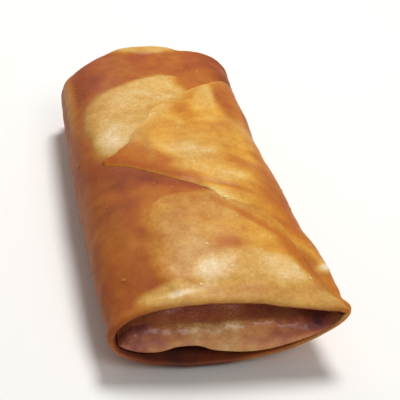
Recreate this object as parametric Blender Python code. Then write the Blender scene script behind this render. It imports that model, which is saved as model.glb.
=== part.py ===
"""A fried spring roll: a square pastry wrapper rolled up round a flat filled packet.

The roll lies along Y with its open front mouth facing -Y. It rests on z = 0.
The wrapper is one sheet. It starts inside the right side, goes once round the packet
and ends in a pointed flap that lies over the top.
"""

import math

import bmesh
import bpy
import numpy as np

# Driving dimensions in metres
LENGTH = 0.100
SHEET = 0.0009  # one layer of fried pastry
PITCH = 0.0014  # from one layer's outer face to the next one's
GAP = 0.0004  # between the wrapper and the packet

# The cross-section is four rounded quarters between its rightmost, top, leftmost and lowest
# points. Each size is given at the middle of the roll, at the front mouth and at the back.
SECTION = {
    "right_x": (0.0214, 0.0238, 0.0239),
    "right_z": (0.0116, 0.0136, 0.0124),
    "top_x": (0.0000, -0.0040, 0.0020),
    "top_z": (0.0234, 0.0158, 0.0226),
    "left_x": (-0.0238, -0.0228, -0.0224),
    "left_z": (0.0115, 0.0082, 0.0106),
    "base_x": (0.0000, -0.0050, 0.0000),
    "base_z": (-0.0008, 0.0010, 0.0003),  # below the ground at the middle, so it comes out flat
    "top_right_squareness": (2.4, 2.0, 2.3),
    "top_left_squareness": (2.4, 2.2, 2.0),
    "base_left_squareness": (2.8, 1.9, 2.4),
    "base_right_squareness": (2.8, 1.7, 2.4),
}
END_POWER = 2.5  # how late along the roll the section starts to change towards its ends
BACK_LEFT_CUT = 0.008  # how far the back mouth's left corner is drawn forward

# The wrapper's turns run counter-clockwise as seen from the front: 0 at the right, 90 at the top.
SHEET_START = math.radians(-372)
LAYER_RAMP = math.radians(90)  # the turn over which a layer climbs onto the one below
# The flap's places on the flat sheet, measured leftwards round the roll from its top line
FLAP_TIP = 0.0195
FLAP_ROOT_FRONT = -0.0225  # where the flap's front edge leaves the front mouth
FLAP_ROOT_BACK = -0.0320  # where its back edge leaves the back mouth
FLAP_FRONT_BEND = 1.6  # above 1, the front edge steepens towards the mouth
TIP_Y = -0.0052
TIP_WIDTH = 0.003
HEM = 0.006  # the wrapper is folded double this far in from each mouth

# The packet's rounded ends: a lip low in each mouth, with a hollow under it
LIP_Z = 0.0056
LIP_X = -0.0015
FRONT_LIP_SETBACK = 0.0025
BACK_LIP_SETBACK = 0.0040
UPPER_SLOPE = 0.005  # how far the packet's end leans back above its lip
LOWER_SLOPE = 0.010  # and below it
END_SHARE = 0.24  # share of the packet's rings that shape one end
ARCH_HEIGHT = 0.0016
ARCH_X = -0.006
ARCH_WIDTH = 0.004

SHEET_CELLS = (84, 14)
PACKET_CELLS = (56, 26)

PASTRY_BROWN = (0.58, 0.25, 0.07, 1.0)
PACKET_TAN = (0.42, 0.20, 0.09, 1.0)


def smooth(share):
    share = np.clip(share, 0.0, 1.0)
    return share * share * (3.0 - 2.0 * share)


def section_sizes(y):
    """Each named size of the cross-section at y."""
    front = np.clip(-y / (LENGTH / 2), 0.0, 1.0) ** END_POWER
    back = np.clip(y / (LENGTH / 2), 0.0, 1.0) ** END_POWER
    return {
        name: middle + (at_front - middle) * front + (at_back - middle) * back
        for name, (middle, at_front, at_back) in SECTION.items()
    }, front


def section_point(turn, y, inset):
    """Points of the cross-section at y, this far inside its skin, as an array of x, y, z."""
    size, front = section_sizes(y)
    across, up = np.cos(turn), np.sin(turn)
    right, top = across >= 0.0, up >= 0.0
    # the pinched front right corner needs a longer step inwards than the rounded sides
    side_x = np.where(right, size["right_x"] - inset * (1.0 + front), size["left_x"] + inset)
    side_z = np.where(right, size["right_z"] - 0.7 * inset * front, size["left_z"])
    end_x = np.where(top, size["top_x"], size["base_x"])
    end_z = np.where(top, size["top_z"] - inset, size["base_z"] + inset)
    squareness = np.where(
        top,
        np.where(right, size["top_right_squareness"], size["top_left_squareness"]),
        np.where(right, size["base_right_squareness"], size["base_left_squareness"]),
    )
    x = end_x + (side_x - end_x) * np.abs(across) ** (2.0 / squareness)
    z = side_z + (end_z - side_z) * np.abs(up) ** (2.0 / squareness)
    return np.stack([x, y, np.maximum(z, inset)], axis=-1)


def arc_table():
    """Turns, and their distances round the middle cross-section leftwards from its top line."""
    turn = np.radians(np.arange(-400.0, 200.5, 0.5))
    points = section_point(turn, np.zeros_like(turn), 0.0)
    steps = np.linalg.norm(np.diff(points, axis=0), axis=1)
    arc = np.concatenate([[0.0], np.cumsum(steps)])
    return turn, arc - np.interp(math.pi / 2, turn, arc)


def layer_inset(turn):
    """Depth of the sheet's outer face inside the skin. It is negative where the flap lies on top."""
    over = smooth(turn / LAYER_RAMP)
    under = 1.0 - smooth((turn + 2.0 * math.pi) / LAYER_RAMP)
    return PITCH * (under - over)


def mouth_y(turn):
    """Where the full-width sheet ends at the front and at the back."""
    left = np.clip(-np.cos(turn), 0.0, 1.0)
    return np.full_like(turn, -LENGTH / 2), LENGTH / 2 - BACK_LEFT_CUT * left**2


def sheet_edges(turn, arc):
    """The sheet's front and back edge. Past its roots the flap narrows to its tip."""
    front, back = mouth_y(turn)
    front_share = np.clip((FLAP_TIP - arc) / (FLAP_TIP - FLAP_ROOT_FRONT), 0.0, 1.0)
    back_share = np.clip((FLAP_TIP - arc) / (FLAP_TIP - FLAP_ROOT_BACK), 0.0, 1.0)
    tip_front, tip_back = TIP_Y - TIP_WIDTH / 2, TIP_Y + TIP_WIDTH / 2
    front = tip_front + (front - tip_front) * front_share**FLAP_FRONT_BEND
    return front, tip_back + (back - tip_back) * back_share


def wall_thickness(turn, y):
    """One layer, and two in the hem of each mouth, except where the sheet's two ends overlap."""
    from_mouth = LENGTH / 2 - np.abs(y)
    single = smooth((turn + math.radians(340)) / math.radians(40)) * smooth(-turn / math.radians(40))
    return SHEET * (1.0 + single * smooth(2.0 * (1.0 - from_mouth / HEM)))


def pastry_material(name, colour, roughness):
    material = bpy.data.materials.new(name)
    material.use_nodes = True
    shader = material.node_tree.nodes["Principled BSDF"]
    shader.inputs["Base Color"].default_value = colour
    shader.inputs["Roughness"].default_value = roughness
    shader.inputs["Metallic"].default_value = 0.0
    return material


def add_body(name, bm, points, material, collection):
    """Moves the primitive's vertices to these points and makes it a smooth-shaded object."""
    for vertex, point in zip(bm.verts, points):
        vertex.co = point
    if bm.calc_volume(signed=True) < 0.0:
        bmesh.ops.reverse_faces(bm, faces=bm.faces[:])
    mesh = bpy.data.meshes.new(name)
    bm.to_mesh(mesh)
    bm.free()
    mesh.materials.append(material)
    mesh.shade_smooth()
    mesh.set_sharp_from_angle(angle=math.radians(40))
    body = bpy.data.objects.new(name, mesh)
    collection.objects.link(body)
    return body


def vertex_array(bm):
    return np.array([vertex.co[:] for vertex in bm.verts])


def roll_wrapper(collection):
    """A flat sheet one unit square and one thick, rolled up by moving its vertices."""
    bm = bmesh.new()
    across, along = SHEET_CELLS
    bmesh.ops.create_grid(bm, x_segments=across, y_segments=along, size=0.5)
    bmesh.ops.solidify(bm, geom=bm.faces[:], thickness=1.0)
    flat = vertex_array(bm)
    turns, arcs = arc_table()
    start = np.interp(SHEET_START, turns, arcs)
    arc = start + (flat[:, 0] + 0.5) * (FLAP_TIP - start)
    turn = np.interp(arc, arcs, turns)
    front, back = sheet_edges(turn, arc)
    y = front + mouth_crowding(flat[:, 1] + 0.5) * (back - front)
    depth = np.abs(flat[:, 2]) * wall_thickness(turn, y)
    points = section_point(turn, y, layer_inset(turn) + depth)
    colour = pastry_material("fried pastry, golden brown", PASTRY_BROWN, 0.4)
    return add_body("outer_wrapper", bm, points, colour, collection)


def mouth_crowding(share):
    """Spaces even steps closer together towards both mouths, where the section changes most."""
    return share - 0.1 * np.sin(2.0 * math.pi * share)


def packet_inset(turn, y):
    """Room for one layer of the sheet all round, and for two at the right and upper right."""
    two_layers = smooth((turn + math.radians(60)) / math.radians(40)) - smooth(turn / LAYER_RAMP)
    two_layers = np.where(np.abs(turn) > math.pi / 2, 0.0, two_layers)
    hem = np.where(turn > 0.0, wall_thickness(turn - 2.0 * math.pi, y), wall_thickness(turn, y))
    return hem + GAP + PITCH * two_layers


def fill_packet(collection):
    """A ball with its poles at the mouths, stretched to fill the wrapper between two lipped ends."""
    bm = bmesh.new()
    around, rings = PACKET_CELLS
    bmesh.ops.create_uvsphere(bm, u_segments=around, v_segments=rings, radius=1.0)
    ball = vertex_array(bm)
    ring = np.arccos(np.clip(-ball[:, 2], -1.0, 1.0)) / math.pi  # 0 at the front, 1 at the back
    share_round = np.arctan2(-ball[:, 1], ball[:, 0]) / (2.0 * math.pi)
    turns, arcs = arc_table()
    left, right = np.interp([-math.pi, math.pi], turns, arcs)
    turn = np.interp(left + (share_round + 0.5) * (right - left), arcs, turns)

    front_lip, back_lip = mouth_y(turn)
    front_lip = front_lip + FRONT_LIP_SETBACK
    back_lip = back_lip - BACK_LIP_SETBACK
    grown = np.clip(np.minimum(ring, 1.0 - ring) / END_SHARE, 0.0, 1.0)
    slope = np.where(np.sin(turn) > 0.0, UPPER_SLOPE, LOWER_SLOPE) * np.abs(np.sin(turn))
    run = np.clip((ring - END_SHARE) / (1.0 - 2.0 * END_SHARE), 0.0, 1.0)
    front_y, back_y = front_lip + slope * grown**2, back_lip - slope * grown**2
    y = front_y + run * (back_y - front_y)
    y = np.where(ring > 1.0 - END_SHARE, back_y, y)

    wide, high = 1.0 - (1.0 - grown) ** 3, grown**1.2
    points = section_point(turn, y, packet_inset(turn, y))
    points[:, 0] = LIP_X + wide * (points[:, 0] - LIP_X)
    points[:, 2] = LIP_Z + high * (points[:, 2] - LIP_Z)
    arch = ARCH_HEIGHT * np.exp(-(((points[:, 0] - ARCH_X) / ARCH_WIDTH) ** 2))
    under_lip = np.clip(-np.sin(turn), 0.0, 1.0) * (1.0 - grown) * (grown > 0.0) * (ring < 0.5)
    points[:, 2] += arch * under_lip
    colour = pastry_material("filled packet, tan", PACKET_TAN, 0.3)
    return add_body("inner_roll", bm, points, colour, collection)


def main():
    for old in list(bpy.data.objects):
        bpy.data.objects.remove(old)
    collection = bpy.data.collections.new("fried_spring_roll")
    bpy.context.scene.collection.children.link(collection)
    roll_wrapper(collection)
    fill_packet(collection)


main()
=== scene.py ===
import math

import bmesh
import bpy
import numpy as np
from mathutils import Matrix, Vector


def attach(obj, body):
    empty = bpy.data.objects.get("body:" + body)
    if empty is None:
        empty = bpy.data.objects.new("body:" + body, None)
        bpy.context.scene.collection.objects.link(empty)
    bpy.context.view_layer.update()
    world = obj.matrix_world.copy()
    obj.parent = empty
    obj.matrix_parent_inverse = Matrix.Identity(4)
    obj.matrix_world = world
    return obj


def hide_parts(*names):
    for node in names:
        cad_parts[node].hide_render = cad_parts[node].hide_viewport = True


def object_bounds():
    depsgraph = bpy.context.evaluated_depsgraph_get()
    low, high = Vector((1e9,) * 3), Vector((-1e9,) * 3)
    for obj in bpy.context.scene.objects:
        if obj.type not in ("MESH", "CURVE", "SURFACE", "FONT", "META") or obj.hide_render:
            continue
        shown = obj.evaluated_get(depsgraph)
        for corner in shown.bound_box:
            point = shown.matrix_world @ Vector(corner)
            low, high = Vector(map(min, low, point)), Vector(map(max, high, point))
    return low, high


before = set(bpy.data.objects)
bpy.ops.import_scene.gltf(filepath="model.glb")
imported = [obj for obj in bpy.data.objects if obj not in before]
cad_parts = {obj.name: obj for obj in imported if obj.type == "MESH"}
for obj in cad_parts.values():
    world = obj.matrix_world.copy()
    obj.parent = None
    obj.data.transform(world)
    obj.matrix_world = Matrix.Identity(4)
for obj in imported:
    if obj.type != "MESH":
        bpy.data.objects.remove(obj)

cadLow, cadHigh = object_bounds()
mm = 0.001
halfLength = (cadHigh.y - cadLow.y) / 2 / mm  # everything below is in millimetres until a mesh is made


def hexColour(text):  # sRGB hex to the linear numbers that shaders take, ((c + 0.055) / 1.055)^2.4
    parts = np.array([int(text[i:i + 2], 16) / 255 for i in (1, 3, 5)])
    linear = np.where(parts <= 0.04045, parts / 12.92, ((parts + 0.055) / 1.055) ** 2.4)
    return (*linear.tolist(), 1.0)


def smoothStep(low, high, value):  # 0 at low, 1 at high, 3t^2 - 2t^3 between
    t = np.clip((value - low) / (high - low), 0.0, 1.0)
    return t * t * (3.0 - 2.0 * t)


def bell(value, centre, width):  # exp(-((value - centre) / width)^2)
    return np.exp(-((value - centre) / width) ** 2)


noiseCells = 64  # the random lattice repeats after this many cells
noiseShift = 500.0  # in cells, so that every place lies above cell 0


def softNoise(u, v, size, seed):
    # -1 to 1: random heights on a square lattice of this size, joined by smooth steps. Each call below that
    # needs its own pattern has its own seed
    lattice = np.random.default_rng(seed).uniform(-1.0, 1.0, (noiseCells, noiseCells))
    cellU, cellV = u / size + noiseShift, v / size + noiseShift
    wholeU, wholeV = np.floor(cellU).astype(int), np.floor(cellV).astype(int)
    shareU, shareV = smoothStep(0, 1, cellU - wholeU), smoothStep(0, 1, cellV - wholeV)

    def at(stepU, stepV):
        return lattice[(wholeU + stepU) % noiseCells, (wholeV + stepV) % noiseCells]

    low = at(0, 0) + (at(1, 0) - at(0, 0)) * shareU
    high = at(0, 1) + (at(1, 1) - at(0, 1)) * shareU
    return low + (high - low) * shareV


def lumps(u, v, size, seed):
    # broad lumps with two finer sizes on them: sum of noise(size / 2^k) / 2^k, brought back to about -1 to 1
    return sum(softNoise(u, v, size / 2 ** k, seed + k) / 2 ** k for k in range(3)) / 1.6


def softPatch(u, v, patch):
    # an ellipse turned by its angle, hypot(du / half, dv / half) = 1: 1 inside, 0 outside, soft over its edge
    # share, its outline pushed by noise
    turn = math.radians(patch.get("angle", 0))
    du, dv = u - patch["at"][0], v - patch["at"][1]
    a = (du * math.cos(turn) + dv * math.sin(turn)) / patch["half"][0]
    b = (dv * math.cos(turn) - du * math.sin(turn)) / patch["half"][1]
    ownSeed = 40 + int(abs(patch["at"][1]))
    ragged = patch.get("ragged", 0.12) * lumps(u, v, 5.0, ownSeed)
    return 1.0 - smoothStep(1.0 - patch["edge"], 1.0 + patch["edge"], np.hypot(a, b) + ragged)


def layPatches(start, patches, u, v):
    # browning, amber and rise are pulled towards each patch's own in turn: value += (own - value) * cover
    layers = {name: np.full_like(u, value) for name, value in zip(("browning", "amber", "rise"), start)}
    for patch in patches:
        cover = softPatch(u, v, patch)
        for name, layer in layers.items():
            if name in patch:
                layer += (patch[name] - layer) * cover
    return layers["browning"], layers["amber"], layers["rise"]


section = {  # each size in mm at the middle of the roll, at its front mouth and at its back mouth
    # the outermost points
    "rightX": (21.4, 23.8, 23.9), "rightZ": (11.6, 13.6, 12.4),
    "topX": (0.0, -4.0, 2.0), "topZ": (23.4, 15.8, 22.6),
    "leftX": (-23.8, -22.8, -22.4), "leftZ": (11.5, 8.2, 10.6),
    "baseX": (0.0, -5.0, 0.0), "baseZ": (-0.8, 1.0, 0.3),
    # the power of each quarter between them: 2 is an ellipse, more is squarer
    "topRight": (2.4, 2.0, 2.3), "topLeft": (2.4, 2.2, 2.0),
    "baseLeft": (2.8, 1.9, 2.4), "baseRight": (2.8, 1.7, 2.4),
}
mouthPower = 2.5  # how late along the roll the middle shape turns into a mouth's


def sectionSizes(y, inset):
    # each size blended to its mouth's by |y / halfLength|^mouthPower, then stepped in by inset
    front = np.clip(-y / halfLength, 0, 1) ** mouthPower
    back = np.clip(y / halfLength, 0, 1) ** mouthPower
    at = {}
    for name, (middle, atFront, atBack) in section.items():
        at[name] = middle + (atFront - middle) * front + (atBack - middle) * back
    at["rightX"] = at["rightX"] - inset * (1 + front)  # the pinched corner needs a longer step
    at["rightZ"] = at["rightZ"] - 0.7 * inset * front
    at["leftX"] = at["leftX"] + inset
    at["topZ"] = at["topZ"] - inset
    at["baseZ"] = at["baseZ"] + inset
    return at


def sectionPoint(turn, y, inset):
    # four superellipse quarters, |x/a|^n + |z/b|^n = 1, between the right, top, left and base points
    at = sectionSizes(y, inset)
    across, up = np.cos(turn), np.sin(turn)
    right, top = across >= 0, up >= 0
    sideX = np.where(right, at["rightX"], at["leftX"])
    sideZ = np.where(right, at["rightZ"], at["leftZ"])
    endX = np.where(top, at["topX"], at["baseX"])
    endZ = np.where(top, at["topZ"], at["baseZ"])
    power = np.where(top, np.where(right, at["topRight"], at["topLeft"]),
                     np.where(right, at["baseRight"], at["baseLeft"]))
    x = endX + (sideX - endX) * np.abs(across) ** (2 / power)
    z = sideZ + (endZ - sideZ) * np.abs(up) ** (2 / power)
    return x, z


def sectionHeight(x, y, inset, end):
    # the same quarters solved for z at a given x, on the "top" or the "base" side
    at = sectionSizes(y, inset)
    right = x >= at[end + "X"]
    sideX = np.where(right, at["rightX"], at["leftX"])
    sideZ = np.where(right, at["rightZ"], at["leftZ"])
    power = np.where(right, at[end + "Right"], at[end + "Left"])
    share = np.clip(np.abs((x - at[end + "X"]) / (sideX - at[end + "X"])), 0, 1)
    return sideZ + (at[end + "Z"] - sideZ) * (1 - share ** power) ** (1 / power)


# where on the sheet a turn lies: turn is the angle round the roll, 0 at the right and 90 degrees on top; arc
# is the way along the middle section in mm, 0 on the top line and growing leftwards; aroundRoll is once round
turnTable = np.radians(np.arange(-400.0, 200.0, 0.25))
tableX, tableZ = sectionPoint(turnTable, np.zeros_like(turnTable), 0.0)
arcTable = np.concatenate([[0.0], np.cumsum(np.hypot(np.diff(tableX), np.diff(tableZ)))])
arcTable -= np.interp(math.pi / 2, turnTable, arcTable)
aroundRoll = np.interp(0, turnTable, arcTable) - np.interp(-2 * math.pi, turnTable, arcTable)


def makePiece(name, points, faces):  # points in mm, each face a list of their numbers
    mesh = bpy.data.meshes.new(name)
    mesh.from_pydata((points * mm).tolist(), [], faces)
    mesh.validate()
    mesh.shade_smooth()
    piece = bpy.data.objects.new(name, mesh)
    bpy.context.scene.collection.objects.link(piece)
    return piece


def pieceFromGrid(name, x, y, z, hubs=()):
    # rows run round a closed profile, columns along the piece. The first and last profile are closed flat, or
    # each by a fan of triangles to its hub, where the profile is too bent for that
    columns, rows = x.shape
    points = np.stack([x, y, z], -1).reshape(-1, 3)
    points = np.concatenate([points, np.reshape(hubs, (-1, 3))])
    column, row = np.meshgrid(np.arange(columns - 1), np.arange(rows), indexing="ij")
    here, ahead, nextRow = column * rows, (column + 1) * rows, (row + 1) % rows
    quads = np.stack([here + row, ahead + row, ahead + nextRow, here + nextRow], -1)
    faces = quads.reshape(-1, 4).tolist()
    first, last = np.arange(rows), columns * rows - 1 - np.arange(rows)
    for number, ring in enumerate((first, last)):
        if len(hubs):
            hub = np.full(rows, columns * rows + number)
            faces += np.stack([hub, ring, np.roll(ring, -1)], -1).tolist()
        else:
            faces.append(ring.tolist())
    return makePiece(name, points, faces)


def paint(piece, name, values):  # a number from 0 to 1 for each vertex, which the material reads
    layer = piece.data.attributes.new(name, "FLOAT", "POINT")
    values = np.clip(values, 0, 1).astype(np.float32).ravel()
    hubs = len(layer.data) - len(values)  # these come last and take the last value
    layer.data.foreach_set("value", np.pad(values, (0, hubs), mode="edge"))


wrapper = {  # one sheet, rolled once round and ending in a pointed flap; in mm, and turns in degrees
    "startTurn": -372,
    "sheet": 0.55,  # thickness of one layer
    "pitch": 0.62,  # from one turn to the next
    "mouthPitch": 0.22,  # the same at the front mouth, which is pressed flat
    "startDive": 0.3,  # the sheet's start lies this much deeper
    "hemThickness": 1.3, "hemDepth": 7.0,  # turned in at the mouths
    "edgeThickness": 0.26,  # the flap's free edge
    "flapTip": 19.5, "tipY": -7.6, "tipWidth": 1.4, "flapRootBack": -31.0,
    "frontSlope": 0.72, "backSlope": 1.02,  # of the flap's two cuts, along for each mm round
    "frontTurnsAt": -12.0, "frontDrop": 0.095,  # from here on the front cut bends down to the mouth
    "foldIn": 1.1, "foldOut": 1.6,  # the jog in the front cut where it is folded
    "tipSlimmer": 2.2, "backFuller": 6.1,  # the back cut bends in at the tip and out behind it
    "cutWave": 0.3,  # in both cuts
    # both lips stand back a little and wander; further at the front's top left and at the back's left
    "lipIn": 0.25, "frontWander": 0.25, "backWander": 0.3, "frontLeftCut": 1.2, "backLeftCut": 6.5,
    # the lips' rolls and the valleys behind them: place along, width and rise
    "lipWaves": ((-48.2, 1.3, 0.22), (-45.6, 1.5, -0.20), (47.8, 1.4, 0.18), (44.8, 1.8, -0.15)),
    "columns": 372, "outerRows": 180, "innerRows": 32, "noseRows": 9,
    # each noise has its strength, its size in mm and its seed; the skin's waves are broad and small
    "waves": ((0.30, 15.0, 11), (0.10, 4.2, 21)),
    "brownClouds": ((0.10, 11.0, 61), (0.05, 2.6, 71)), "amberClouds": ((0.25, 8.0, 83),),
    # browning is 0 where pale and blistered, 1 where dark red-brown; amber is how golden the oil has made it
    "bodyStart": (0.60, 0.6, 0.0), "flapStart": (0.31, 0.85, 0.0),
    "pleatRise": 0.18, "pleatBrown": 0.13,  # the pleats' ridges brown first
    # the flap's front edge: how much, and within how many mm. It is stuck down and browner, with a painted
    # highlight along its very end
    "stuckDown": (0.42, 1.5), "edgeBrown": (0.22, 2.6), "edgePaintedHighlight": (0.34, 0.5),
}
# the patches of each skin, laid one over the other. "at" is mm round the roll from the top line, 30 at the
# left, 60 below and 89 at the right, and mm along it; "half" is the half size both ways
bodyPatches = [
    # the brown of the left side and of the back
    {"at": (31, 0), "half": (20, 80), "edge": 0.4, "browning": 0.67, "amber": 0.5},
    {"at": (3, 42), "half": (30, 13), "edge": 0.3, "browning": 0.65, "amber": 0.8},
    {"at": (-18, 44), "half": (9, 9), "edge": 0.6, "browning": 0.80, "amber": 0.8, "rise": 1.5},
    {"at": (20, 34), "half": (4.5, 10), "edge": 0.5, "browning": 0.75, "amber": 0.8},
    # painted highlight: a pale stripe down the left side, on a low ridge
    {"at": (25, 29), "half": (1.8, 14), "edge": 0.7, "browning": 0.46, "amber": 0.3, "rise": 0.35},
    # the pale blister behind the flap: darker to the left; dry and whitish at its front end, where a painted
    # sheen lies
    {"at": (13.8, 9.5), "half": (7.7, 14.5), "edge": 0.16, "browning": 0.33, "amber": 0.2, "rise": 0.6},
    {"at": (5.8, 20.5), "half": (11.5, 7.3), "angle": 155, "edge": 0.25,
     "browning": 0.28, "amber": 0.2, "rise": 0.6},
    {"at": (-0.5, 26.4), "half": (5.0, 4.6), "edge": 0.3, "browning": 0.26, "amber": 0.35, "rise": 0.6},
    {"at": (18.5, 13), "half": (3.4, 9), "edge": 0.9, "browning": 0.42, "amber": 0.3},
    # painted sheen: the blister's front end is whitish
    {"at": (16.8, 0), "half": (3.2, 6), "edge": 0.9, "browning": 0.17, "amber": 0.0},
    {"at": (0.5, 26), "half": (3.5, 5), "edge": 0.7, "browning": 0.20, "amber": 0.5},
    {"at": (-9, 31), "half": (4, 8), "angle": 40, "edge": 0.4, "browning": 0.57, "amber": 0.9},
    # painted shade: a red-brown band on the body just below the flap's front edge
    {"at": (9.5, -16.4), "half": (16.5, 3.6), "angle": 33, "edge": 0.6, "browning": 0.76, "amber": 0.9},
    {"at": (8, -21.2), "half": (10, 1.9), "angle": 10, "edge": 0.8, "browning": 0.60, "amber": 0.7},
    # the pale blister in front of the flap, golden with brown spots at the back, dry and paler by the mouth,
    # where a broad sheen and two highlights are painted in
    {"at": (5.3, -28.5), "half": (8, 6.3), "edge": 0.10, "browning": 0.42, "amber": 0.4, "rise": 0.5},
    {"at": (-1, -37), "half": (14.7, 15), "edge": 0.10, "browning": 0.44, "amber": 0.45, "rise": 0.55},
    {"at": (-8, -32), "half": (7, 6), "edge": 0.6, "browning": 0.40, "amber": 1.0},
    {"at": (4, -35.5), "half": (5, 3.5), "edge": 0.9, "browning": 0.39, "amber": 0.4},
    {"at": (14.5, -31), "half": (2.4, 3.4), "edge": 0.5, "browning": 0.66, "amber": 0.7},
    {"at": (12.5, -30), "half": (1.6, 9), "edge": 0.8, "browning": 0.48, "amber": 0.6},
    {"at": (-3, -27.5), "half": (5, 2.6), "angle": 30, "edge": 0.8, "browning": 0.38, "amber": 0.55},
    {"at": (-8.5, -33), "half": (6, 4), "edge": 0.7, "browning": 0.37, "amber": 0.9},
    {"at": (-3.3, -36.4), "half": (2.4, 1.5), "edge": 0.95, "browning": 0.58, "amber": 1.0, "ragged": 0.5},
    {"at": (1.5, -30.5), "half": (1.2, 0.7), "edge": 0.95, "browning": 0.48, "amber": 1.0},
    {"at": (-6.5, -33), "half": (2.8, 1.0), "edge": 0.9, "browning": 0.44, "amber": 1.0, "ragged": 0.4},
    {"at": (-12.5, -37), "half": (3.2, 1.3), "edge": 0.9, "browning": 0.48, "amber": 1.0, "ragged": 0.4},
    # a paler band across the front slope: partly the skin's own tone, partly a painted broad sheen
    {"at": (-6.5, -42.4), "half": (11.5, 4.2), "edge": 0.4, "browning": 0.26, "amber": 0.35},
    {"at": (11, -46.2), "half": (7.5, 2), "edge": 0.25, "browning": 0.30, "amber": 0.2},
    {"at": (-4, -47.8), "half": (22, 1.9), "edge": 0.4, "browning": 0.37, "amber": 0.15},
    {"at": (-10, -42), "half": (4.5, 2.2), "edge": 0.8, "browning": 0.19, "amber": 0.3},
    {"at": (-16, -47.4), "half": (7, 2.6), "edge": 0.8, "browning": 0.44, "amber": 0.2},
    # painted highlight: a whitish spot on the front slope
    {"at": (0.7, -42.4), "half": (2.6, 2.7), "edge": 0.9, "browning": 0.16, "amber": 0.0, "ragged": 0.5},
    # painted highlight: a thin whitish streak along the lip
    {"at": (8.5, -46.7), "half": (4.5, 0.6), "edge": 0.9, "browning": 0.12, "amber": 0.0, "ragged": 0.4},
    # painted shade: a dark line just below the flap's front edge past the fold
    {"at": (-8.3, -30), "half": (7, 0.8), "angle": 38, "edge": 0.9, "browning": 0.60, "amber": 1.0},
    {"at": (-16.5, -37.5), "half": (7, 2.4), "angle": 55, "edge": 0.6, "browning": 0.66, "amber": 0.95},
    # the pale spot on the back lip, and painted shade on the lower rim of the front mouth, darker to the left
    {"at": (3.5, 49), "half": (9, 3.6), "edge": 0.25, "browning": 0.29, "amber": 0.4, "rise": 0.6},
    {"at": (58, -50), "half": (15, 3.0), "edge": 0.4, "browning": 0.94, "amber": 0.0},
    {"at": (79, -50), "half": (9, 2.6), "edge": 0.4, "browning": 0.56, "amber": 0.0},
    # golden patches underneath
    {"at": (73, 10), "half": (9, 16), "angle": 15, "edge": 0.3, "browning": 0.34, "amber": 0.3, "rise": 0.2},
    {"at": (50, -16), "half": (8, 14), "angle": -20, "edge": 0.3,
     "browning": 0.36, "amber": 0.3, "rise": 0.2},
    {"at": (79, -30), "half": (7, 9), "edge": 0.4, "browning": 0.42, "amber": 0.6},
    {"at": (46, 30), "half": (7, 8), "edge": 0.4, "browning": 0.42, "amber": 0.5},
]
flapPatches = [  # the same, 19.5 at the tip and -27 at the right
    # the brown and pale marks from the tip along its front edge
    {"at": (11.5, -9), "half": (10, 4.4), "angle": 38, "edge": 0.5, "browning": 0.59, "amber": 1.0},
    {"at": (9, -5.5), "half": (1.2, 5), "edge": 0.9, "browning": 0.50, "amber": 0.6},
    {"at": (3, -16.3), "half": (4.5, 2.3), "angle": 30, "edge": 0.7, "browning": 0.60, "amber": 0.9},
    {"at": (5.5, -2.5), "half": (3, 4.5), "edge": 0.8, "browning": 0.25, "amber": 0.9},
    {"at": (-0.5, -9), "half": (4.5, 7), "edge": 0.7, "browning": 0.33, "amber": 0.45},
    {"at": (0.5, -5), "half": (1.8, 1.4), "edge": 0.9, "browning": 0.26, "amber": 0.4},
    {"at": (-3, -13.5), "half": (7, 1.8), "edge": 0.8, "browning": 0.23, "amber": 0.7},
    {"at": (-6.5, -16.6), "half": (4, 2), "edge": 0.7, "browning": 0.15, "amber": 0.5},
    {"at": (-3.5, -19.4), "half": (5.5, 0.9), "angle": 19, "edge": 0.9, "browning": 0.48, "amber": 1.0},
    {"at": (-2.8, -22.8), "half": (3.4, 1.2), "angle": 51, "edge": 0.7, "browning": 0.31, "amber": 0.6},
    # the golden middle and its browner folds
    {"at": (-10.5, -27.5), "half": (2.5, 3), "edge": 0.8, "browning": 0.49, "amber": 1.0},
    {"at": (-14, -31), "half": (4, 3), "edge": 0.8, "browning": 0.53, "amber": 1.0},
    {"at": (-18, -16), "half": (4.5, 15), "edge": 0.7, "browning": 0.58, "amber": 0.8},
    {"at": (-9.5, -8.5), "half": (2.8, 3.8), "edge": 0.8, "browning": 0.49, "amber": 1.0},
    {"at": (5, 8), "half": (10, 2.1), "angle": 126, "edge": 0.7, "browning": 0.26, "amber": 0.6},
    {"at": (-2, 10.5), "half": (2.6, 4), "edge": 0.8, "browning": 0.54, "amber": 1.0},
    {"at": (0.5, 4.5), "half": (0.9, 2.2), "edge": 0.8, "browning": 0.24, "amber": 0.5},
    {"at": (-5, 19.5), "half": (4.5, 1.1), "angle": 125, "edge": 0.8, "browning": 0.48, "amber": 1.0},
    # red-brown at the back and down the right side, with two pale blisters
    {"at": (-14.5, 22), "half": (3, 9), "edge": 0.6, "browning": 0.69, "amber": 0.85},
    {"at": (-8.8, 20.5), "half": (7.5, 2.3), "angle": 108, "edge": 0.5,
     "browning": 0.31, "amber": 0.65, "rise": 0.5},
    {"at": (-23, 5), "half": (5, 40), "edge": 0.6, "browning": 0.55, "amber": 0.9},
    {"at": (-23, 28), "half": (8, 13), "edge": 0.6, "browning": 0.69, "amber": 0.9, "rise": 0.9},
    {"at": (-18.5, -39.5), "half": (4.5, 1.4), "angle": 55, "edge": 0.6, "browning": 0.70, "amber": 0.9},
    {"at": (-24, -44), "half": (7, 9), "edge": 0.6, "browning": 0.54, "amber": 0.9},
    {"at": (-21.2, -39.3), "half": (2.4, 1.1), "angle": 148, "edge": 0.5,
     "browning": 0.10, "amber": 0.2, "rise": 0.45},
    # a painted highlight along the front edge past the fold, and a dip and a swelling down the right side
    {"at": (-7.5, -26.6), "half": (6, 0.6), "angle": 38, "edge": 0.9, "browning": 0.24, "amber": 0.9},
    {"at": (-21, -24), "half": (5, 7), "edge": 0.9, "rise": -0.25},
    {"at": (-21, -35), "half": (5, 5), "edge": 0.7, "rise": 0.45},
]
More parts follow.
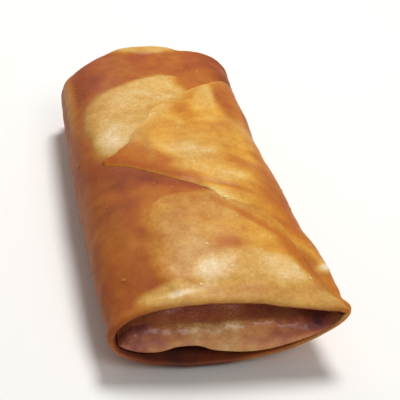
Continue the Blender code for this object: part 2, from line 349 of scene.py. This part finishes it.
flapCreases = [  # straight ridges, or grooves where the rise is negative
    {"from": (1, -17.8), "to": (-9, -21.5), "width": 0.7, "rise": -0.30},
    {"from": (0.5, -18.8), "to": (-5, -26), "width": 0.8, "rise": 0.40},
    {"from": (9, 3), "to": (-3, 17), "width": 0.9, "rise": 0.25},
    {"from": (4, 4), "to": (-4, 14), "width": 1.1, "rise": -0.25},
    {"from": (9.5, 2), "to": (8, -13), "width": 0.8, "rise": 0.15},
    {"from": (4.5, 0), "to": (3, -14), "width": 0.8, "rise": -0.18},
    {"from": (-5, -2), "to": (-13, -24), "width": 1.0, "rise": 0.18},
]


def layerInset(turn, y):
    # depth of the outer face under the section's line: pitch * (under - over), so that the flap climbs out by
    # a layer and the start dives in by one
    over = smoothStep(0, math.pi / 2, turn)
    under = 1.0 - smoothStep(0, math.pi / 2, turn + 2 * math.pi)
    start = smoothStep(math.radians(-345), math.radians(-362), turn)
    pitch = wrapper["pitch"] + (wrapper["mouthPitch"] - wrapper["pitch"]) * smoothStep(-36, -45, y)
    return pitch * (under - over) + wrapper["startDive"] * start


def sheetEdges(turn, arc):
    # the front and back edge. Past its roots the flap narrows to its tip along two nearly straight cuts
    w = wrapper
    left = np.clip(-np.cos(turn), 0, 1)
    front = -halfLength + w["lipIn"] + w["frontWander"] * lumps(arc, 0 * arc, 9.0, 3)
    front += w["frontLeftCut"] * bell(turn, math.radians(-235), math.radians(50))
    back = halfLength - w["lipIn"] - w["backLeftCut"] * left ** 2
    back += w["backWander"] * lumps(arc, 0 * arc, 8.0, 5)
    fromTip = w["flapTip"] - arc
    wave = w["cutWave"] * lumps(arc, 0 * arc + 3, 5.0, 7) * smoothStep(0, 4, fromTip)
    cutFront = w["tipY"] - w["frontSlope"] * fromTip
    cutFront += w["foldIn"] * bell(arc, 1.0, 4.5) - w["foldOut"] * smoothStep(-0.5, -3.5, arc)
    cutFront -= w["frontDrop"] * np.clip(w["frontTurnsAt"] - arc, 0, 30) ** 2
    cutBack = w["tipY"] + w["tipWidth"] + w["backSlope"] * fromTip
    cutBack += w["backFuller"] * smoothStep(3, 15, fromTip) - w["tipSlimmer"] * smoothStep(0, 3.5, fromTip)
    return np.maximum(front, cutFront + wave), np.minimum(back, cutBack - wave)


def hemAmount(turn):
    # how much of the full hem there is: present * (1 - thinner), none on the flap, less at the top and right
    present = smoothStep(math.radians(-352), math.radians(-330), turn)
    present = present * smoothStep(math.radians(8), math.radians(-6), turn)
    thinner = 0.5 * np.clip(np.sin(turn), 0, 1) + 0.6 * bell(turn, math.radians(-12), math.radians(26))
    return present * (1 - thinner)


def creaseHeight(arc, y, crease):
    # a bell across the line from one end to the other, fading in at both ends: rise * ends * bell(away)
    start, end = np.array(crease["from"], float), np.array(crease["to"], float)
    length = np.hypot(*(end - start))
    ahead = (end - start) / length
    along = (arc - start[0]) * ahead[0] + (y - start[1]) * ahead[1]
    away = (y - start[1]) * ahead[0] - (arc - start[0]) * ahead[1] + 0.4 * softNoise(arc, y, 3.0, 17)
    ends = smoothStep(0, 0.25 * length, along) * smoothStep(length, 0.7 * length, along)
    return crease["rise"] * ends * bell(away, 0, crease["width"])


def pleats(arc, y):
    # noise(26 * angle, 0.2 * reach): 5 times drawn out along the rays that fan from the flap's tip
    across, along = wrapper["flapTip"] - arc, y - wrapper["tipY"]
    angle, reach = np.arctan2(along, np.maximum(across, 0.5) + 6), np.hypot(along, across)
    return lumps(angle * 26, reach * 0.2, 3.0, 31) * smoothStep(6, 18, reach)


def layered(u, v, noises):  # sum of strength * lumps(size, seed)
    return sum(strength * lumps(u, v, size, seed) for strength, size, seed in noises)


def fading(distance, amount):  # the amount is how much and within how many mm: much * exp(-distance / within)
    much, within = amount
    return much * np.exp(-distance / within)


def wrapperSkin(arc, y, turn):
    # the outer face anywhere on the sheet: its height above its own layer in mm, its browning and its amber
    w = wrapper
    flap = smoothStep(math.radians(-25), math.radians(5), turn)
    front = sheetEdges(turn, arc)[0]
    around = arc + aroundRoll
    bodyBrown, bodyAmber, bodyRise = layPatches(w["bodyStart"], bodyPatches, around, y)
    flapBrown, flapAmber, flapRise = layPatches(w["flapStart"], flapPatches, arc, y)
    body = layered(around, y, w["waves"]) + bodyRise
    onFlap = layered(arc, y, w["waves"]) + flapRise + w["pleatRise"] * pleats(arc, y)
    onFlap += sum(creaseHeight(arc, y, crease) for crease in flapCreases)
    fromFront = np.clip(y - front, 0, 50)
    onFlap -= fading(fromFront, w["stuckDown"])
    above = smoothStep(math.radians(-50), math.radians(-22), turn)  # from here on the sheet lies double
    height = body + (onFlap - body) * above
    height += sum(rise * bell(y, place, width) for place, width, rise in w["lipWaves"])

    # browner along the flap's front edge, and a painted highlight along its very end
    edge = fading(fromFront, w["edgeBrown"]) - fading(fromFront, w["edgePaintedHighlight"])
    flapBrown += edge * smoothStep(-4, 2, arc) + w["pleatBrown"] * pleats(arc, y)
    brown = bodyBrown + (flapBrown - bodyBrown) * flap + layered(arc, y, w["brownClouds"])
    amber = bodyAmber + (flapAmber - bodyAmber) * flap + layered(arc, y, w["amberClouds"])
    return height, brown, amber


def makeWrapper():
    # a grid of turns by a closed profile: point = section(turn, y, layerInset - height + side * thick), with
    # side 0 on the outer face and 1 on the inner one
    w = wrapper
    arcStart = np.interp(math.radians(w["startTurn"]), turnTable, arcTable)
    arcs = np.linspace(arcStart, w["flapTip"], w["columns"])
    turns = np.interp(arcs, arcTable, turnTable)
    # the profile: along the outside, round the back edge, back inside, round the front edge, with its rows
    # closer together near both edges
    share = np.linspace(0, 1, w["outerRows"])
    outer = share - 0.08 * np.sin(2 * math.pi * share)
    inner = np.linspace(1, 0, w["innerRows"])
    inner = inner - 0.12 * np.sin(2 * math.pi * inner)
    nose = np.linspace(0, math.pi, w["noseRows"] + 2)[1:-1]
    along = np.concatenate([outer, np.ones_like(nose), inner, np.zeros_like(nose)])
    side = np.concatenate([0 * outer, (1 - np.cos(nose)) / 2, np.ones_like(inner), (1 + np.cos(nose)) / 2])
    out = np.concatenate([0 * outer, np.sin(nose), 0 * inner, -np.sin(nose)])
    along, side, out = along[::-1], side[::-1], out[::-1]  # this way round the faces look outward
    arc, along = np.meshgrid(arcs, along, indexing="ij")
    turn, side = np.meshgrid(turns, side, indexing="ij")
    out = np.broadcast_to(out, arc.shape)
    front, back = sheetEdges(turn, arc)

    # thicker by the hem as far in as it was turned, thinner within about 1 mm of the flap's cuts
    hem = hemAmount(turn) * (w["hemThickness"] - w["sheet"])
    cut = smoothStep(w["flapRootBack"], w["flapRootBack"] + 6, arc) * (w["sheet"] - w["edgeThickness"])
    rimThick = w["sheet"] + hem - cut
    y = front + rimThick / 2 + along * (back - front - rimThick) + out * rimThick / 2
    fromRim = np.clip(np.minimum(y - front, back - y), 0, 50)
    hemEdge = w["hemDepth"] + 1.2 * lumps(arc, 0 * arc, 8.0, 51)
    thin = cut * np.exp(-fromRim / 1.0)
    thick = w["sheet"] + hem * smoothStep(hemEdge + 0.6, hemEdge - 0.6, fromRim) - thin

    height, brown, amber = wrapperSkin(arc, y, turn)
    x, z = sectionPoint(turn, y, layerInset(turn, y) - height + 0.5 * thin + side * thick)
    z = np.maximum(z, side * thick)  # it rests flat
    narrowRight = min(1.0, cadHigh.x / mm / x.max())  # the waves must not make it wider than it is
    narrowLeft = min(1.0, cadLow.x / mm / x.min())
    x = x * np.where(x > 0, narrowRight, narrowLeft)
    piece = pieceFromGrid("wrapper", x, y, z)

    # painted shade: the sheet's inner face is dark and dull, less so at the lower right, where light reaches
    # it at the mouths
    inner = smoothStep(0.3, 0.9, side)
    inside = 0.92 - 0.46 * bell(arc + aroundRoll, 85, 15) + 0.12 * lumps(arc, y, 5.0, 67)
    brown += (inside - brown) * inner
    amber += (0.15 - amber) * inner
    paint(piece, "browning", brown)
    paint(piece, "amber", amber)
    print("wrapper:", len(piece.data.polygons), "faces")
    return piece


packet = {  # the inner turns round the filling, in mm: at each end a low tongue, its lip and a hollow below
    "clear": 0.12,  # between it and the sheet
    "leftGap": 0.6,  # more at the left of both mouths
    # where the slope starts, the tongue's shoulder, its lip and the hollow's end lie along the roll, and the
    # arch in the lip across it
    "front": {"slope": -35.0, "shoulder": -46.2, "lip": -49.0, "hollow": -36.0, "arch": -6.5},
    "back": {"slope": 36.0, "shoulder": 43.6, "lip": 46.4, "hollow": 37.0, "arch": 4.0},
    "archWidth": 9.0, "archRise": 2.5, "crownWidth": 4.0, "crownRise": 1.0,
    "lipRadius": 0.30,
    "shoulder": 0.58,  # share of the height inside the mouth
    "hubs": ((-18, 0, 10.5), (16, 0, 10.5)),  # inside its left and right ends
    "columns": 150, "topRows": 44, "baseRows": 26,
    "slopeRows": 24, "faceRows": 40, "noseRows": 8, "underRows": 20,
    # browning of the tongue, back under the wrapper's lip, of its own pale lip, and painted shade near black
    # in the hollow
    "tongueBrown": 0.39, "deepBrown": 0.41, "lipBrown": 0.12, "hollowPaintedShade": 0.95,
    # painted shade under the wrapper's back lip
    "deepBackShade": 0.14,  # darker under the wrapper's back lip
    # browner or paler across the tongue: place, width and how much; then browner at its left
    "acrossBrown": ((15, 7, 0.22), (1, 6, -0.16)), "leftBrown": 0.3,
    "amber": 0.6, "deepAmber": 0.6,  # everywhere, and as much again where it is deep under the lip
}


def packetInset(x, y, end):
    # the wrapper's thickness over or under each place: sheet + clear + hem + pitch where it lies double
    hem = (wrapper["hemThickness"] - wrapper["sheet"]) * smoothStep(37, 41, np.abs(y))
    if end == "base":
        hem = hem * (1 - 0.55 * smoothStep(13, 20, x))
        second = smoothStep(12, 20, x) * smoothStep(44, 38, np.abs(y))  # where the sheet lies double
    else:
        second = 1.3 * smoothStep(2, 16, x)
    return wrapper["sheet"] + packet["clear"] + hem + wrapper["pitch"] * second


def packetAcross(share, y):  # x for a share from -1 at the left side to 1 at the right, straight between them
    right = sectionSizes(y, packetInset(halfLength, y, "base"))["rightX"]
    right = right - 0.3 * smoothStep(46, 40, np.abs(y))
    left = sectionSizes(y, packetInset(-halfLength, y, "top"))["leftX"]
    left = left + packet["leftGap"] * smoothStep(38, 46, np.abs(y))
    return (right + left) / 2 + share * (right - left) / 2


def packetHeights(x, y):  # the lowest and the highest z that the sheet leaves free
    low = sectionHeight(x, y, packetInset(x, y, "base"), "base")
    low = np.maximum(low, wrapper["sheet"] + packet["clear"])
    high = sectionHeight(x, y, packetInset(x, y, "top"), "top")
    return np.minimum(low, high), high


def packetEnd(share, end):
    # one end, for every share across: an S-shaped slope down to the shoulder, a quarter ellipse down to the
    # lip, the lip's rounded edge, and an undercut back to the hollow's end
    p = packet
    slope, shoulder, hollow = end["slope"], end["shoulder"], end["hollow"]
    outward = math.copysign(1.0, end["lip"])
    lip = end["lip"] + outward * 0.5 * smoothStep(-0.1, 0.5, share)  # it comes further out at the right
    stations = (slope, shoulder, lip, hollow)
    slopeX, shoulderX, lipX, hollowX = (packetAcross(share, y + 0 * share) for y in stations)
    slopeZ = packetHeights(slopeX, slope + 0 * slopeX)[1]
    lipLow, lipHigh = packetHeights(lipX, lip + 0 * lipX)
    hollowLow = packetHeights(hollowX, hollow + 0 * hollowX)[0]
    room = np.clip((lipHigh - lipLow) / 5.0, 0, 1)  # 0 where the sheet closes down on it at both sides
    crown = ((lipX - end["arch"] + 1.2) / p["crownWidth"]) ** 2  # a flatter top, a little to the left
    lift = p["archRise"] * bell(lipX, end["arch"], p["archWidth"]) + p["crownRise"] * bell(crown, 0, 1)
    lift = lift + 0.05 * (1 + lumps(lipX, 0 * lipX, 5.0, 91))
    radius = p["lipRadius"] * room
    lipZ = lipLow + lift * room + radius
    taper = np.sqrt(smoothStep(0, 0.14, 1 - np.abs(share)))  # both sides close down to the lip
    shoulderZ = (p["shoulder"] * (lipHigh - lipLow) + 0.5 * lumps(lipX, 0 * lipX, 6.0, 95)) * taper
    shoulderZ = np.maximum(lipLow + shoulderZ, lipZ)

    u = np.linspace(0, 1, p["slopeRows"] + 1)[None, :-1] + 0 * share
    v = np.linspace(0, math.pi / 2, p["faceRows"])[None, :] + 0 * share
    x = np.concatenate([slopeX + (shoulderX - slopeX) * u, shoulderX + (lipX - shoulderX) * np.sin(v)], 1)
    y = np.concatenate([slope + (shoulder - slope) * u, shoulder + (lip - shoulder) * np.sin(v)], 1)
    slopeDown = slopeZ + (shoulderZ - slopeZ) * smoothStep(0, 1, u)
    faceDown = lipZ + (shoulderZ - lipZ) * np.cos(v)
    z = np.concatenate([slopeDown, faceDown], 1)
    down = np.concatenate([0.5 * u, 0.5 + v / math.pi], 1)
    bulge = 0.7 * lumps(x, z * 1.2, 6.0, 93) + 0.25 * lumps(x, z, 2.2, 97)
    bulge = bulge * np.sin(math.pi * down) * room
    y, z = y + outward * bulge * 0.7, z + bulge * 0.7
    nose = np.linspace(0, math.pi / 2, p["noseRows"] + 2)[None, 1:-1]
    under = np.linspace(0, 1, p["underRows"])[None, :] + 0 * share
    noseY, noseZ = lip - outward * radius * (1 - np.cos(nose)), lipZ - radius * np.sin(nose)
    underY, underZ = lip - outward * radius, lipZ - radius
    x = np.concatenate([x, lipX + 0 * nose, lipX + (hollowX - lipX) * under], 1)
    y = np.concatenate([y, noseY, underY + (hollow - underY) * under], 1)
    z = np.concatenate([z, noseZ, underZ + (hollowLow - underZ) * smoothStep(0, 1, under)], 1)
    down = np.concatenate([down, 1 + 0 * (lipX + nose), 1 + under], 1)
    return x, y, z, down


def packetSpan(share, start, end, rows, side):  # the base or the top between the two ends
    y = np.linspace(start, end, rows + 2)[None, 1:-1] + 0 * share
    x = packetAcross(share, y)
    return x, y, packetHeights(x, y)[side == "top"], 0 * y


def makePacket():
    # a grid of shares across, from left to right, by the closed profile of front end, base, back end and top
    p = packet
    share = -np.cos(np.linspace(0, math.pi, p["columns"]))[:, None]
    parts = [
        packetEnd(share, p["front"]),
        packetSpan(share, p["front"]["hollow"], p["back"]["hollow"], p["baseRows"], "base"),
        [part[:, ::-1] for part in packetEnd(share, p["back"])],
        packetSpan(share, p["back"]["slope"], p["front"]["slope"], p["topRows"], "top"),
    ]
    x, y, z, down = (np.concatenate(rows, 1)[:, ::-1] for rows in zip(*parts))
    piece = pieceFromGrid("packet", x, y, z, p["hubs"])

    # down is 0 on top, 0.5 at the shoulder, 1 at the lip and 2 at the hollow's end
    brown = p["tongueBrown"] + 0.34 * lumps(x, z + y * 0.4, 4.5, 101) + 0.18 * lumps(x, z, 1.6, 103)
    across = sum(much * bell(x, place, width) for place, width, much in p["acrossBrown"])
    brown += across + p["leftBrown"] * smoothStep(-8, -18, x)
    # painted shade: the band back under the wrapper's lip is darker at the back mouth
    deep = p["deepBrown"] + p["deepBackShade"] * smoothStep(0, 10, y) + 0.16 * lumps(x, 0 * x, 6.0, 113)
    brown += (deep - brown) * smoothStep(0.58, 0.46, down)
    edge = smoothStep(0.80, 0.97, down) * smoothStep(1.1, 1.02, down)
    # the lip's pale edge ends before both corners and comes and goes
    edge = edge * smoothStep(-19, -14, x) * smoothStep(21, 16, x) * (0.55 + 0.45 * lumps(x, y, 3.5, 109))
    brown += (p["lipBrown"] - brown) * edge
    # painted shade: the undercut into the hollow goes near black
    brown += (p["hollowPaintedShade"] - brown) * smoothStep(1.05, 1.4, down)
    amber = p["amber"] + 0.5 * lumps(x, z + y * 0.4, 6.0, 107)
    amber += p["deepAmber"] * smoothStep(0.56, 0.44, down)
    paint(piece, "browning", brown)
    paint(piece, "amber", amber)
    print("packet:", len(piece.data.polygons), "faces")
    return piece


bubbles = {  # pinhead blisters that steam lifted, in mm
    "tries": 170, "seed": 12,
    "radius": (0.16, 0.42), "flatness": 0.28,
    "around": (-26.0, 90.0), "along": (-46.0, 46.0),  # where they are tried, counted as the body patches are
    "clearOfEdge": 1.2, "clearOfMouth": 3.0, "lowest": 2.0, "widest": 23.4,
    "flapSide": 36.0,  # up to here round the roll a place may lie on the flap
    "tipNearer": 0.7,  # the flap's tip counts as this share of its distance
    "paler": 0.14, "amberShare": 0.9,  # than the skin below them
    "middle": (0, 0, 11),  # of the roll
}


def skinPoint(arc, y):  # the place of the outer face, its browning and its amber
    turn = np.interp(arc, arcTable, turnTable)
    height, brown, amber = wrapperSkin(arc, y, turn)
    x, z = sectionPoint(turn, y, layerInset(turn, y) - height)
    return np.stack([x, y, z], -1), brown, amber


def makeBubbles():
    # balls half sunk in the skin and squashed along its normal, the cross product of its two tangents
    b = bubbles
    rng = np.random.default_rng(b["seed"])
    around = rng.uniform(*b["around"], b["tries"])
    y = rng.uniform(*b["along"], b["tries"])
    small, large = b["radius"]
    radius = small + (large - small) * rng.uniform(0, 1, b["tries"]) ** 3  # most are small
    # on the flap where it covers the place, on the turn below where it doesn't, none close to its edge
    turn = np.interp(around, arcTable, turnTable)
    front, back = sheetEdges(turn, around)
    inside = np.minimum(np.minimum(y - front, back - y), (wrapper["flapTip"] - around) * b["tipNearer"])
    bodyTurn = np.interp(around - aroundRoll, arcTable, turnTable)
    bodyFront, bodyBack = sheetEdges(bodyTurn, around - aroundRoll)
    x, z = sectionPoint(np.where(around < b["flapSide"], turn, bodyTurn), y, 0.0)
    keep = (np.abs(inside) > b["clearOfEdge"]) & (z > b["lowest"]) & (np.abs(x) < b["widest"])
    keep &= (y > bodyFront + b["clearOfMouth"]) & (y < bodyBack - b["clearOfMouth"])
    around, y, radius, inside = around[keep], y[keep], radius[keep], inside[keep]
    arc = np.where(inside > 0, around, around - aroundRoll)

    step = 0.2  # mm, for the tangents
    centre, brown, amber = skinPoint(arc, y)
    alongArc = skinPoint(arc + step, y)[0] - centre
    alongRoll = skinPoint(arc, y + step)[0] - centre
    up = np.cross(alongRoll, alongArc)
    alongArc, up = (v / np.linalg.norm(v, axis=1, keepdims=True) for v in (alongArc, up))
    side = np.cross(up, alongArc)
    up *= np.sign((up * (centre - b["middle"])).sum(1, keepdims=True))  # away from the roll's middle

    template = bmesh.new()
    bmesh.ops.create_icosphere(template, subdivisions=3, radius=1.0)
    ball = np.array([vertex.co[:] for vertex in template.verts])
    corners = np.array([[vertex.index for vertex in face.verts] for face in template.faces])
    template.free()
    frames = np.stack([alongArc, side, up * b["flatness"]], 1) * radius[:, None, None]
    points = centre[:, None, :] + ball @ frames
    faces = corners[None] + len(ball) * np.arange(len(radius))[:, None, None]
    piece = makePiece("bubbles", points.reshape(-1, 3), faces.reshape(-1, 3).tolist())
    paint(piece, "browning", np.repeat(brown - b["paler"], len(ball)))
    paint(piece, "amber", np.repeat(amber * b["amberShare"], len(ball)))
    print("bubbles:", len(radius), "domes,", len(piece.data.polygons), "faces")
    return piece


def addNode(tree, kind, inputs, **settings):  # each input takes a value or the socket that feeds it
    node = tree.nodes.new(kind)
    for name, value in settings.items():
        setattr(node, name, value)
    for name, value in inputs.items():
        if isinstance(value, bpy.types.NodeSocket):
            tree.links.new(value, node.inputs[name])
        else:
            node.inputs[name].default_value = value
    return node


# in each finish both ramps run evenly from browning 0 to 1, "dry" where little oil took and "amber" where
# much did; roughness is that of pale and of brown skin; pores are in mm

# wheat pastry, deep-fried: a thin starch skin, pale and faintly glossy where it blistered up off the oil,
# matt and red-brown where it lay in it
wrapperFinish = {
    "name": "wheat pastry, deep-fried golden brown",
    "poreSize": 0.65, "poreBump": 0.10,  # real pores are about 0.3 apart, too fine to show
    "roughness": (0.34, 0.66), "coat": 0.06,
    "dry": ("#F4E6DC", "#E6CAA0", "#CFA55A", "#B07636", "#9C5A2A", "#773E2A", "#50302A"),
    "amber": ("#F6D68C", "#ECBD62", "#D99B36", "#BF7222", "#A85220", "#843C20", "#582A20"),
}
# the same skin blown up thin by steam: smoother, so that each bubble takes a small highlight
bubbleFinish = wrapperFinish | {
    "name": "blister skin, fried thin and glossy", "roughness": (0.25, 0.45), "coat": 0.2,
}
# wheat pastry that steamed inside the roll: soft, pinkish brown and wet with oil, so its highlights break up
packetFinish = {
    "name": "soft inner pastry, steamed and oily",
    "poreSize": 0.55, "poreBump": 0.40, "roughness": (0.10, 0.50), "coat": 0.5,
    "dry": ("#F2D4A8", "#E0B478", "#CA9256", "#B07246", "#965440", "#74403A", "#4A2C2C"),
    "amber": ("#F2C47C", "#E2A258", "#D48252", "#BC6446", "#984840", "#703638", "#4A2A2C"),
}
pastry = {  # what all three share, in mm
    "mottleSize": 3.0, "mottle": 0.20,  # cloudy browning
    # specks of flour, for pale and for brown skin; real ones are 0.2, too fine to show
    "grainSize": 0.65, "grain": (0.20, 0.05),
    "shift": -0.157,  # brings the mean of both noises back to about 0
    "waveSize": 2.2, "waveBump": 0.30,  # the small waves of the dough
    "ior": 1.45, "specular": 0.17,  # dry starch
    "coatRoughness": 0.22,  # the film of oil
    "scatter": 0.12, "scatterRadius": (2.0, 0.8, 0.3),  # light goes a little way into the crust, red furthest
}


def friedPastry(finish):
    # browning + mottle + grain picks the colour on both ramps, amber mixes them; pores and waves are bump
    material = bpy.data.materials.new(finish["name"])
    material.use_nodes = True
    tree = material.node_tree
    shader = tree.nodes["Principled BSDF"]
    place = addNode(tree, "ShaderNodeTexCoord", {}).outputs["Object"]
    brown = addNode(tree, "ShaderNodeAttribute", {}, attribute_name="browning").outputs["Fac"]
    amber = addNode(tree, "ShaderNodeAttribute", {}, attribute_name="amber").outputs["Fac"]

    mottle = addNode(tree, "ShaderNodeTexNoise", {
        "Vector": place, "Scale": 1 / (pastry["mottleSize"] * mm), "Detail": 3.0, "Roughness": 0.55,
    })
    grain = addNode(tree, "ShaderNodeTexNoise", {
        "Vector": place, "Scale": 1 / (pastry["grainSize"] * mm), "Detail": 1.0, "Roughness": 0.5,
    })
    sway = addNode(tree, "ShaderNodeMath", {
        0: mottle.outputs["Fac"], 1: pastry["mottle"], 2: pastry["shift"],
    }, operation="MULTIPLY_ADD")
    onPale, onBrown = pastry["grain"]
    strength = addNode(tree, "ShaderNodeMapRange", {
        "Value": brown, "From Min": 0.25, "From Max": 0.6, "To Min": onPale, "To Max": onBrown,
    })
    both = addNode(tree, "ShaderNodeMath", {
        0: grain.outputs["Fac"], 1: strength.outputs["Result"], 2: sway.outputs["Value"],
    }, operation="MULTIPLY_ADD")
    speckled = addNode(tree, "ShaderNodeMath", {0: brown, 1: both.outputs["Value"]}, operation="ADD")
    total = speckled.outputs["Value"]

    ramps = []
    for colours in (finish["dry"], finish["amber"]):
        ramp = addNode(tree, "ShaderNodeValToRGB", {"Fac": total})
        elements = ramp.color_ramp.elements
        while len(elements) < len(colours):
            elements.new(0.5)
        for number, (element, colour) in enumerate(zip(elements, colours)):
            element.position = number / (len(colours) - 1)
            element.color = hexColour(colour)
        ramps.append(ramp.outputs["Color"])
    # input 0 is the factor, 6 and 7 are the two colours, and output 2 is their mix
    colour = addNode(tree, "ShaderNodeMix", {0: amber, 6: ramps[0], 7: ramps[1]}, data_type="RGBA")
    tree.links.new(colour.outputs[2], shader.inputs["Base Color"])

    # blistered skin is smooth with fine pores, browned skin is matt
    smooth, matt = finish["roughness"]
    gloss = addNode(tree, "ShaderNodeMapRange", {
        "Value": total, "From Min": 0.15, "From Max": 0.6, "To Min": smooth, "To Max": matt,
    })
    tree.links.new(gloss.outputs["Result"], shader.inputs["Roughness"])
    waves = addNode(tree, "ShaderNodeTexNoise", {
        "Vector": place, "Scale": 1 / (pastry["waveSize"] * mm), "Detail": 1.0, "Roughness": 0.5,
    })
    pores = addNode(tree, "ShaderNodeTexVoronoi", {
        "Vector": place, "Scale": 1 / (finish["poreSize"] * mm), "Smoothness": 0.6,
    }, feature="SMOOTH_F1")
    waveBump = addNode(tree, "ShaderNodeBump", {
        "Height": waves.outputs["Fac"], "Strength": 0.5, "Distance": pastry["waveBump"] * mm,
    })
    poreBump = addNode(tree, "ShaderNodeBump", {
        "Height": pores.outputs["Distance"], "Normal": waveBump.outputs["Normal"],
        "Strength": 0.4, "Distance": finish["poreBump"] * mm,
    })
    tree.links.new(poreBump.outputs["Normal"], shader.inputs["Normal"])

    shader.inputs["IOR"].default_value = pastry["ior"]
    shader.inputs["Specular IOR Level"].default_value = pastry["specular"]
    shader.inputs["Coat Weight"].default_value = finish["coat"]
    shader.inputs["Coat Roughness"].default_value = pastry["coatRoughness"]
    shader.inputs["Subsurface Weight"].default_value = pastry["scatter"]
    shader.inputs["Subsurface Radius"].default_value = [reach * mm for reach in pastry["scatterRadius"]]
    shader.inputs["Subsurface Scale"].default_value = 1.0
    print("finish:", finish["name"])
    return material


studio = {
    "floor": "#F3F1EE", "floorRoughness": 0.8, "floorSide": 2400.0,  # mm
    "sky": "#F7F6F4", "skyStrength": 0.26,
}


def paleFloor():
    # painted board, rolled matt: even and pale, so that it only takes the soft shadow
    material = bpy.data.materials.new("painted board, matt white")
    material.use_nodes = True
    shader = material.node_tree.nodes["Principled BSDF"]
    shader.inputs["Base Color"].default_value = hexColour(studio["floor"])
    shader.inputs["Roughness"].default_value = studio["floorRoughness"]
    return material


def makeFloor():
    corners = np.array([(-1, -1, 0), (1, -1, 0), (1, 1, 0), (-1, 1, 0)]) * studio["floorSide"] / 2
    floor = makePiece("floor", corners, [(0, 1, 2, 3)])
    floor.data.materials.append(paleFloor())


lights = [  # place and size across in metres, and watts; each looks at the origin
    {"name": "overhead", "at": (0.11, 0.20, 0.71), "size": 0.26, "watts": 4.2},
    {"name": "window", "at": (-0.12, 0.64, 0.36), "size": 0.26, "watts": 0.5},
    {"name": "front", "at": (0.18, -0.50, 0.60), "size": 0.35, "watts": 1.2},
]


def makeLights():
    for item in lights:
        light = bpy.data.lights.new(item["name"], "AREA")
        light.shape = "DISK"
        light.size = item["size"]
        light.energy = item["watts"]
        lamp = bpy.data.objects.new(item["name"], light)
        lamp.location = item["at"]
        lamp.rotation_euler = (-Vector(item["at"])).to_track_quat("-Z", "Y").to_euler()
        bpy.context.scene.collection.objects.link(lamp)
    world = bpy.data.worlds.new("studio")
    world.use_nodes = True
    sky = world.node_tree.nodes["Background"]
    sky.inputs["Color"].default_value = hexColour(studio["sky"])
    sky.inputs["Strength"].default_value = studio["skyStrength"]
    bpy.context.scene.world = world
    bpy.context.scene.view_settings.view_transform = "Standard"  # golden browns keep their strength


camera = {  # in mm and degrees; yaw and pitch are those of a level camera, which is then turned to the aim
    "at": (-47.5, -160.0, 112.0), "aim": (4.0, -6.0, 10.0), "yaw": 0.2, "pitch": 33.6,
    "lens": 76.0, "sensor": 36.0,
}


def makeCamera():
    # the level camera's frame is carried to the aim by the shortest turn, so that the mouth stays level
    yaw, pitch = math.radians(camera["yaw"]), math.radians(camera["pitch"])
    level = Vector((math.sin(yaw) * math.cos(pitch), math.cos(yaw) * math.cos(pitch), -math.sin(pitch)))
    place = Vector(camera["at"])
    aim = (Vector(camera["aim"]) - place).normalized()
    rotation = level.rotation_difference(aim) @ level.to_track_quat("-Z", "Y")
    lens = bpy.data.cameras.new("camera")
    lens.lens = camera["lens"]
    lens.sensor_width = camera["sensor"]
    lens.clip_start = 0.005
    lens.clip_end = 20.0
    eye = bpy.data.objects.new("camera", lens)
    eye.location = place * mm
    eye.rotation_mode = "QUATERNION"
    eye.rotation_quaternion = rotation
    bpy.context.scene.collection.objects.link(eye)
    bpy.context.scene.camera = eye


for piece, finish, node, slot in (
    (makeWrapper(), wrapperFinish, "outer_wrapper", "wrapper"),
    (makePacket(), packetFinish, "inner_roll", "packet"),
    (makeBubbles(), bubbleFinish, "outer_wrapper", "wrapper"),
):
    piece.data.materials.append(friedPastry(finish))
    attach(piece, "root")
    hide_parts(node)
makeFloor()
makeLights()
makeCamera()
print("set ready")
